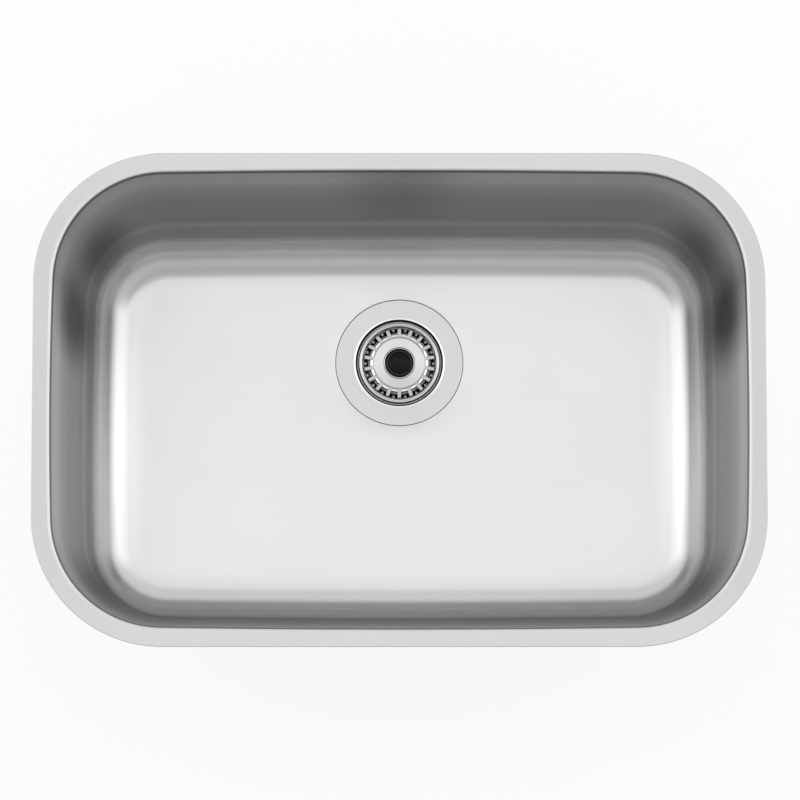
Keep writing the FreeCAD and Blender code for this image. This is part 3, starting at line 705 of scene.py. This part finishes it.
def flat_ring(name, inner, outer, top, thickness, finish, edge=0.25):
    """Flat ring with softened edges, in millimetres below the flange's face."""
    section = mm([(inner, top), (outer, top), (outer, top + thickness), (inner, top + thickness)])
    return turn_piece(name, soften(section, edge * MM), finish, 120)


fit(flat_ring("foam_ring", 44.45, 57.0, 1.2, 1.0,
              moulded("grey_seal_foam", (0.52, 0.52, 0.5), 0.9, grit=1500.0, depth=0.8)),
    "sink", "flange_gasket")
gasket_rubber = moulded("black_gasket_rubber", (0.022, 0.021, 0.021), 0.5)
fit(flat_ring("big_rubber_ring", 42.6, 55.0, 3.4, 4.0, gasket_rubber, 0.7),
    "sink", "rubber_gasket")
fit(flat_ring("fibre_ring", 42.6, 54.7, 7.4, 0.8,
              moulded("pressed_fibre", (0.36, 0.14, 0.075), 0.8, grit=2200.0, depth=0.5, worn=0.3), 0.15),
    "sink", "friction_washer")


# ---- Locknut ----
# A big ring cast in zinc, threaded on to the neck, with eight lugs for a spanner or a hammer and punch.
# The casting is dull grey and a little grainy, and its lugs slope to the ring below.

def dull_metal(name, tone, roughness, grit=260.0, depth=0.35):
    """Cast or spring metal, grainy and without a brushed direction."""
    finish, tree, shader = new_finish(name)
    feed(tree, shader, {"Metallic": 1.0})
    grains = noise(tree, wire(tree, "ShaderNodeTexCoord").outputs["Object"], grit, 4.0)
    grained_skin(tree, shader, grains, ([part * 0.86 for part in tone], tone), grains,
                 max(0.03, roughness - 0.1), roughness + 0.1, depth, 0.06 * MM)
    return finish


def ring_tree():
    """Geometry nodes that repeat a piece in even turns round the drain's axis."""
    tree, given = new_tree("ring_of", (("Piece", "Geometry"), ("Copies", "Int"), ("First Turn", "Float"),
                                       ("Finish", "Material")), "Ring")
    spots = wire(tree, "GeometryNodePoints", {"Count": given["Copies"], "Position": drain})
    number = wire(tree, "GeometryNodeInputIndex").outputs["Index"]
    share = wire(tree, "ShaderNodeMath", {0: number, 1: given["Copies"]}, operation="DIVIDE")
    turn = wire(tree, "ShaderNodeMath", {0: share.outputs["Value"], 1: 2 * pi, 2: given["First Turn"]},
                operation="MULTIPLY_ADD")
    upright = wire(tree, "ShaderNodeCombineXYZ", {"Z": turn.outputs["Value"]})
    place = wire(tree, "GeometryNodeInstanceOnPoints",
                 {"Points": spots.outputs["Points"], "Instance": given["Piece"],
                  "Rotation": upright.outputs["Vector"]})
    hand_out(tree, place.outputs["Instances"], given["Finish"], "Ring")
    return tree


ring_of = ring_tree()


def bars_round(name, section, width, round_off, copies, first_turn, finish):
    """Ring of radial bars, each with its section along the radius and its edges rounded."""
    mesh = bpy.data.meshes.new(name)
    bar = bmesh.new()
    near = [bar.verts.new((out, -width / 2, flange_top - depth)) for out, depth in section]
    far = [bar.verts.new((out, width / 2, flange_top - depth)) for out, depth in section]
    bar.faces.new(near)
    bar.faces.new(far[::-1])
    for index in range(len(section)):
        following = (index + 1) % len(section)
        bar.faces.new((near[index], far[index], far[following], near[following]))
    bmesh.ops.recalc_face_normals(bar, faces=bar.faces)
    bmesh.ops.bevel(bar, geom=bar.edges, offset=round_off, segments=3, profile=0.5,
                    affect="EDGES", clamp_overlap=True)
    grain = bar.loops.layers.uv.new("grain")
    for face in bar.faces:
        face.smooth = True
        for loop in face.loops:
            loop[grain].uv = (loop.vert.co.x, loop.vert.co.y)
    bar.to_mesh(mesh)
    bar.free()
    piece = bpy.data.objects.new(name, mesh)
    bpy.context.scene.collection.objects.link(piece)
    make_plain(piece, ring_of, {"Copies": copies, "First Turn": first_turn, "Finish": finish})
    return piece


def gather(main, others):
    """Join other pieces into the first, whose name stays."""
    for piece in bpy.context.selected_objects:
        piece.select_set(False)
    for piece in [main] + others:
        piece.select_set(True)
    bpy.context.view_layer.objects.active = main
    bpy.ops.object.join()
    main.select_set(False)
    return main


cast_zinc = dull_metal("grainy_cast_zinc", (0.46, 0.47, 0.48), 0.48)
nut_ring = turn_piece("locknut_casting", soften(mm([(42.35, 8.2), (48.35, 8.2), (48.35, 18.2),
                                                    (42.35, 18.2)]), 0.8 * MM), cast_zinc, 120)
lugs = bars_round("locknut_lugs", mm([(45.35, 8.25), (53.3, 8.25), (53.3, 13.2), (48.2, 18.15),
                                      (45.35, 18.15)]), 10.9 * MM, 0.9 * MM, 8, 0.0, cast_zinc)
fit(gather(nut_ring, [lugs]), "sink", "locknut")


# ---- Tailpiece, its gasket and its nut ----
# A thin chromed brass tube with a turned-out flange. The hexagon nut pulls the flange up on a white
# washer against the body's outlet. Both are plated and bright, with faint polishing marks.

fit(flat_ring("white_washer", 18.15, 23.0, 62.0, 1.6,
              moulded("white_washer_poly", (0.72, 0.72, 0.70), 0.5, worn=0.05), 0.2),
    "sink", "tail_gasket")
tube_chrome = grained_steel("bright_tube_chrome", 0.56, 0.09, streak=0.03, pull=0.1, depth=0.08)
tube_section = [(18.15, 63.6), (23.0, 63.6), (23.0, 64.8), (19.25, 64.8), (19.05, 65.1), (19.05, 163.3),
                (18.85, 163.6), (18.35, 163.6), (18.15, 163.3)]
fit(turn_piece("tail_tube", soften(mm(tube_section), 0.2 * MM), tube_chrome, 96),
    "sink", "tailpiece")
nut_section = [(23.85, 49.0), (29.3, 49.0), (32.9, 51.1), (32.9, 65.2), (29.3, 67.3), (20.4, 67.3),
               (20.4, 64.8), (23.85, 64.8)]
nut_chrome = grained_steel("bright_nut_chrome", 0.54, 0.14, streak=0.04, pull=0.2, depth=0.1)
fit(turn_piece("tail_nut", soften(mm(nut_section), 0.35 * MM), nut_chrome, 144,
               flats=57.0 * MM, corner_out=32.45 * MM),
    "sink", "coupling_nut")


# ---- Basket crown ----
# Pressed from thin stainless steel: a rolled rim, radial ribs over a low step, a thin groove, a shallow
# disc and a rounded collar round the knob's pocket. It is the bright part of the basket.

crown_steel = grained_steel("satin_crown_steel", 0.54, 0.2, streak=0.03, pull=0.3)
rib_steel = grained_steel("satin_rib_steel", 0.47, 0.3, streak=0.03, pull=0.2)
disc_section = [(4.66, 5.9), (12.4, 5.9), (12.7, 5.6), (12.7, 1.85)]
disc_section += bend((13.45, 1.85), 0.75, 180, 350, 10)
disc_section += [(14.35, 1.98), (14.8, 1.95), (22.4, 1.24), (22.75, 1.22), (22.95, 1.45), (23.1, 1.52),
                 (23.25, 1.45), (23.45, 1.22), (23.7, 1.2), (23.85, 1.28), (23.95, 1.5), (24.0, 1.8),
                 (24.08, 1.93), (24.2, 1.97), (25.7, 2.03), (25.9, 2.06), (26.08, 2.16), (26.18, 2.35),
                 (26.2, 2.6), (26.2, 4.1), (25.9, 4.2), (23.4, 2.4),
                 (22.7, 2.4), (14.2, 2.8), (13.6, 2.9), (13.5, 3.2), (13.5, 6.4), (13.2, 6.7),
                 (4.66, 6.7)]
rim_section = [(36.2, 7.6), (36.2, 0.8)] + bend((35.7, 0.8), 0.5, 0, -90, 6)
rim_section += [(35.5, 0.3), (35.1, 0.32), (34.95, 0.38), (34.8, 0.41), (34.65, 0.38), (34.5, 0.32),
                (34.1, 0.3)]
rim_section += bend((33.8, 0.8), 0.5, 270, 180, 6)
rim_section += [(33.3, 5.1), (34.1, 5.1), (34.1, 1.4), (34.5, 1.1), (35.1, 1.1), (35.4, 1.4),
                (35.4, 7.6)]
crown = turn_piece("crown_pressing", mm(disc_section), crown_steel, 144)
# The crown's sills between the ribs are painted bright as a highlight, with the polished steel.
paint_highlight_band(crown, polish_and_painted_highlight_steel, 24.1, 26.1, 2.2)
rolled_rim = turn_piece("crown_rim", mm(rim_section), crown_steel, 144)
ribs = bars_round("crown_ribs", mm([(23.4, 1.22), (31.4, 1.55), (33.55, 3.3), (33.55, 4.4), (31.2, 2.6),
                                    (23.4, 2.2)]), 3.3 * MM, 0.28 * MM, 18, pi / 2, rib_steel)
fit(gather(crown, [rolled_rim, ribs]), "basket", "basket_crown")


# ---- Cage under the crown ----
# Moulded in dark grey plastic, painted a lighter grey as painted light against the shade in the slots: two
# rings joined by eighteen spokes, a round nub in each slot of the crown, painted paler still as painted
# light, and six arms down to the hub that holds the bush.

# Painted light: the dark grey plastic is given a lighter grey so that the cage shows in the slots' shade.
cage_plastic_painted_light = moulded("dark_cage_plastic_painted_lighter", (0.34, 0.332, 0.33), 0.32, depth=0.1)
hub_section = [(4.58, 6.8), (8.0, 6.8), (8.0, 19.6), (7.6, 20.0), (3.3, 20.0), (3.3, 17.2), (5.16, 17.2),
               (5.16, 15.1), (4.58, 15.1)]
cage = turn_piece("cage_moulding", soften(mm(hub_section), 0.15 * MM), cage_plastic_painted_light, 64)
outer_ring = turn_piece("cage_outer", soften(mm([(31.8, 5.2), (35.2, 5.2), (35.2, 7.6), (31.8, 7.6)]),
                                             0.5 * MM), cage_plastic_painted_light, 120)
inner_ring = turn_piece("cage_inner", soften(mm([(26.0, 5.2), (28.1, 5.2), (28.1, 7.6), (26.0, 7.6)]),
                                             0.5 * MM), cage_plastic_painted_light, 120)
spokes = bars_round("cage_spokes", mm([(27.0, 5.3), (33.5, 5.3), (33.5, 7.55), (27.0, 7.55)]),
                    2.4 * MM, 0.35 * MM, 18, pi / 2, cage_plastic_painted_light)
arms = bars_round("cage_arms", mm([(7.2, 6.85), (27.0, 6.85), (27.0, 7.55), (7.2, 11.5)]),
                  1.6 * MM, 0.2 * MM, 6, pi / 2, cage_plastic_painted_light)
nub_mesh = bpy.data.meshes.new("cage_nubs")
nub = bmesh.new()
nub_rings = [[nub.verts.new((30.6 * MM + 1.4 * MM * wide * cos(2 * pi * step / 20),
                             1.4 * MM * wide * sin(2 * pi * step / 20), flange_top - depth * MM))
              for step in range(20)]
             for wide, depth in [(1.0, 7.6), (1.0, 6.6)]
             + [(cos(radians(lift)), 6.6 - 1.4 * sin(radians(lift))) for lift in (15, 30, 45, 60, 75, 86)]]
for lower, upper in zip(nub_rings, nub_rings[1:]):
    for step in range(20):
        beside = (step + 1) % 20
        nub.faces.new((lower[step], lower[beside], upper[beside], upper[step])).smooth = True
nub.faces.new(nub_rings[0][::-1])
nub.faces.new(nub_rings[-1]).smooth = True
bmesh.ops.recalc_face_normals(nub, faces=nub.faces)
nub.to_mesh(nub_mesh)
nub.free()
nubs = bpy.data.objects.new("cage_nubs", nub_mesh)
bpy.context.scene.collection.objects.link(nubs)
# The nubs are painted pale grey as painted light, lighter than the cage, so that they show in the slots'
# shade.
make_plain(nubs, ring_of, {"Copies": 18, "First Turn": pi / 2 + pi / 18,
                           "Finish": moulded("painted_light_nub_plastic", (0.6, 0.59, 0.585), 0.25, depth=0.05)})
fit(gather(cage, [outer_ring, inner_ring, spokes, arms, nubs]), "basket", "basket_cage")


# ---- Rubber ring round the basket ----
# A black rubber ring hugs the crown's skirt and rests on the ledge. A bead along its top, painted light
# grey as a highlight, shows as a thin line in the dark gap between basket and throat.

ring_section = [(36.22, 7.6), (36.22, 4.4), (36.7, 4.4)] + bend((37.35, 4.4), 0.65, 180, 360, 8)
ring_section += [(38.3, 4.4), (38.5, 4.6), (38.5, 8.8), (38.3, 9.0), (33.7, 9.0), (33.5, 8.8),
                 (33.5, 7.8), (33.7, 7.6)]
seal_ring = turn_piece("basket_rubber", mm(ring_section), gasket_rubber, 144)
# The bead is painted light grey on the black rubber as a painted highlight.
paint_highlight_band(seal_ring, moulded("painted_highlight_bead", (0.6, 0.59, 0.585), 0.35), 36.65, 38.05, 4.2)
fit(seal_ring, "basket", "rim_ring")


# ---- Guide bush and its O-ring ----
# A flanged brass bush is pressed through the crown into the hub and guides the stem. The rubber ring
# below it grips the stem, so that the stopper stays up or down.

brass = dull_metal("turned_brass", (0.72, 0.50, 0.22), 0.25, grit=600.0, depth=0.1)
bush_section = [(3.06, 5.1), (6.6, 5.1), (6.6, 5.9), (4.56, 5.9), (4.56, 15.0), (3.06, 15.0)]
fit(turn_piece("brass_bush", soften(mm(bush_section), 0.2 * MM), brass, 64),
    "basket", "guide_bush")
grip_section = [(4.06 + cos(radians(turn)), 16.15 + sin(radians(turn))) for turn in range(0, 360, 18)]
fit(turn_piece("stem_grip_ring", mm(grip_section), gasket_rubber, 64),
    "basket", "stem_oring")


# ---- Knob ----
# Moulded in black plastic, dished on top inside a thin raised lip, and pushed on to the stem's end.
# It sits in the crown's pocket, level with the flange. The lip's crest is painted a little lighter as a
# highlight.

knob_plastic = moulded("black_knob_plastic", (0.006, 0.006, 0.006), 0.25, depth=0.05)
knob_plastic.node_tree.nodes["Principled BSDF"].inputs["Specular IOR Level"].default_value = 0.12
knob_section = [(0.0, 2.1)] + [(10.6 * step / 10, 2.1 - 1.45 * (step / 10) ** 2.2)
                               for step in range(1, 11)]
knob_section += [(10.72, 0.52), (10.85, 0.47), (11.0, 0.47), (11.13, 0.54), (11.4, 0.62), (11.7, 0.66)]
knob_section += bend((11.8, 1.26), 0.6, 272, 360, 8)
knob_section += [(12.4, 4.5), (12.2, 4.8), (11.9, 4.9), (3.25, 4.9), (3.05, 4.7), (3.05, 2.9), (0.0, 2.9)]
knob = turn_piece("knob_moulding", mm(knob_section), knob_plastic, 128)
# The lip's crest is painted dark grey over the black as a painted highlight ring.
paint_highlight_band(knob, moulded("painted_highlight_knob_lip", (0.05, 0.05, 0.05), 0.25, depth=0.05), 10.65, 11.15, 0.7)
fit(knob, "stopper", "knob")


# ---- Stem, circlip and stopper ----
# A steel rod slides in the bush. Below the hub it has an open spring clip, then the rubber stopper
# between a steel disc and a washer, all drawn together by a hexagon nut on the threaded end.

rod_steel = grained_steel("ground_rod_steel", 0.62, 0.18, streak=0.03, pull=0.2, depth=0.1)
stem_section = [(0.0, 3.0), (2.8, 3.0), (3.0, 3.2), (3.0, 28.1), (2.5, 28.1), (2.5, 28.9), (3.0, 28.9)]
stem_section += threaded(3.0, 41.0, 50.2, 0.12)
stem_section += [(2.7, 50.6), (0.0, 50.6)]
fit(turn_piece("stem_rod", mm(stem_section), rod_steel, 48, thread_out=3.0 * MM, thread_from=40.0 * MM,
               thread_to=50.3 * MM, thread_pitch=1.0 * MM, thread_cut=0.45 * MM),
    "stopper", "stem")
coat_node("stem_circlip", dull_metal("spring_steel", (0.30, 0.30, 0.32), 0.3, grit=900.0, depth=0.1))
fit(flat_ring("stopper_disc", 3.05, 20.0, 37.25, 1.2, rod_steel, 0.35),
    "stopper", "stopper_plate")
plug_section = [(3.05, 38.45), (25.0, 38.45), (25.0, 41.45), (21.1, 43.4), (3.05, 43.4)]
fit(turn_piece("stopper_rubber", soften(mm(plug_section), 0.6 * MM), gasket_rubber, 128),
    "stopper", "stopper_seal")
fit(flat_ring("stopper_shim", 3.05, 12.0, 43.4, 1.0, rod_steel, 0.3),
    "stopper", "stopper_washer")
small_nut = [(3.05, 44.7), (3.35, 44.4), (4.9, 44.4), (5.75, 45.0), (5.75, 48.8), (4.9, 49.4),
             (3.35, 49.4), (3.05, 49.1)]
fit(turn_piece("stopper_nut", soften(mm(small_nut), 0.1 * MM), rod_steel, 96,
               flats=10.0 * MM, corner_out=5.68 * MM),
    "stopper", "stem_nut")


# ---- Stage: floor, studio sky and camera ----
# A white table under the sink, the soft light of a studio whose brighter and darker patches the steel
# mirrors, and a long lens from the front.

def stage_floor():
    """Large white floor just under the tailpiece's end."""
    mesh = bpy.data.meshes.new("floor")
    half = 6.0
    level = cad_bounds[0][2] - 0.5 * MM
    mesh.from_pydata([(-half, -half, level), (half, -half, level), (half, half, level),
                      (-half, half, level)], [], [(0, 1, 2, 3)])
    floor = bpy.data.objects.new("floor", mesh)
    bpy.context.scene.collection.objects.link(floor)
    finish, tree, matt = new_finish("white_floor")
    feed(tree, matt, {"Base Color": (0.96, 0.96, 0.96, 1), "Roughness": 0.9})
    glow = wire(tree, "ShaderNodeEmission", {"Color": (1, 1, 1, 1), "Strength": 1.0})
    seen = wire(tree, "ShaderNodeLightPath").outputs
    plain = wire(tree, "ShaderNodeMath", {0: seen["Is Camera Ray"], 1: seen["Is Glossy Ray"]},
                 operation="MAXIMUM")
    either = wire(tree, "ShaderNodeMath", {0: plain.outputs["Value"], 1: seen["Is Transmission Ray"]},
                  operation="MAXIMUM")
    weighed = wire(tree, "ShaderNodeMath", {0: either.outputs["Value"], 1: 0.85}, operation="MULTIPLY")
    mixed = wire(tree, "ShaderNodeMixShader", {"Fac": weighed.outputs["Value"], 1: matt.outputs["BSDF"],
                                               2: glow.outputs["Emission"]})
    feed(tree, tree.nodes["Material Output"], {"Surface": mixed.outputs["Shader"]})
    mesh.materials.append(finish)


stage_floor()

world = bpy.data.worlds.new("studio")
bpy.context.scene.world = world
world.use_nodes = True
sky = world.node_tree


def sky_sum(kind, *values):
    """Sum, product or the like of values in the sky."""
    return wire(sky, "ShaderNodeMath", dict(enumerate(values)), operation=kind).outputs["Value"]


def sky_edge(value, dark, light):
    """Soft edge in the sky: 0 at one value, 1 at the other."""
    return wire(sky, "ShaderNodeMapRange",
                {"Value": value, "From Min": min(dark, light), "From Max": max(dark, light),
                 "To Min": float(dark > light), "To Max": float(dark < light)},
                interpolation_type="SMOOTHSTEP").outputs["Result"]


looking = wire(sky, "ShaderNodeTexCoord").outputs["Generated"]
parts = wire(sky, "ShaderNodeSeparateXYZ", {"Vector": looking}).outputs
side = sky_sum("ABSOLUTE", parts["X"])
back = parts["Y"]


def sky_patch(side_from, side_full, side_still, side_to, back_from, back_full, back_still, back_to):
    """Soft-edged patch of the sky, the same on the left and on the right."""
    width = sky_sum("MULTIPLY", sky_edge(side, side_from, side_full), sky_edge(side, side_to, side_still))
    depth = sky_sum("MULTIPLY", sky_edge(back, back_from, back_full), sky_edge(back, back_to, back_still))
    return sky_sum("MULTIPLY", width, depth)


low_sides = sky_sum("MULTIPLY", sky_edge(parts["Z"], 0.45, 0.1), sky_edge(side, 0.4, 0.85))
level = sky_sum("MULTIPLY_ADD", low_sides, 0.4, 0.7)
for strength, patch in ((0.82, (-0.2, -0.1, 0.72, 1.0, -0.14, 0.0, 0.12, 0.52)),
                        (0.3, (-0.2, -0.1, 0.9, 1.0, 0.3, 0.7, 1.1, 1.2)),
                        (0.55, (0.16, 0.42, 0.6, 0.97, 0.02, 0.12, 0.26, 0.4)),
                        (-0.1, (-0.2, -0.1, 0.3, 0.45, -0.7, -0.56, -0.4, -0.25)),
                        (-0.5, (0.33, 0.39, 0.5, 0.62, -0.34, -0.2, 0.02, 0.1))):
    level = sky_sum("ADD", level, sky_sum("MULTIPLY", sky_patch(*patch), strength))
feed(sky, sky.nodes["Background"], {"Strength": level, "Color": (1, 1, 1, 1)})

camera_tilt = radians(8.9)
camera_reach = 5.05
camera_aim = Vector((0.0006, -0.0015, 0.0))
camera_data = bpy.data.cameras.new("long_lens")
camera_data.lens = 262.9
camera_data.sensor_width = 36.0
camera_data.clip_end = 50.0
camera = bpy.data.objects.new("long_lens", camera_data)
bpy.context.scene.collection.objects.link(camera)
camera.location = camera_aim + camera_reach * Vector((0, -sin(camera_tilt), cos(camera_tilt)))
camera.rotation_euler = (camera_tilt, 0.0, 0.0)
bpy.context.scene.camera = camera

bpy.context.scene.view_settings.view_transform = "Standard"
